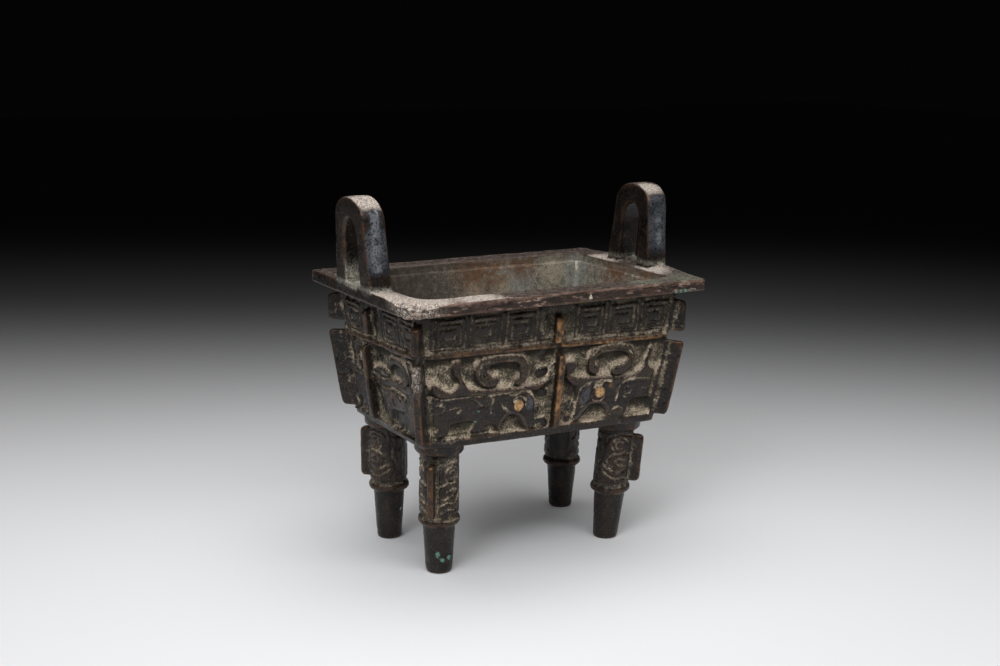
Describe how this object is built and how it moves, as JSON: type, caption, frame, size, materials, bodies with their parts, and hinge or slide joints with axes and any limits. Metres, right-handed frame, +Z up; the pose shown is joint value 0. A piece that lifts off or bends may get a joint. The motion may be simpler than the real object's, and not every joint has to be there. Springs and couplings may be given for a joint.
{
  "type": "square ding vessel",
  "caption": "Rectangular cast bronze ding: deep hollow body on round legs, upright loop handles on the rim, raised mask and nested-square ornament, and notched flanges.",
  "frame": {"origin": "on the surface the vessel stands on, under the middle of its outline", "axes": "+Z up; X along the long side, -X and +X towards the handles; -Y towards the long side seen in the picture"},
  "size_m": [0.1562, 0.0998, 0.1642],
  "materials": {
    "bronze": "dark brown patinated bronze, rubbed golden on edges, dusty beige in the recesses"
  },
  "bodies": {
    "root": {"square_ding": "bronze"}
  },
  "joints": []
}
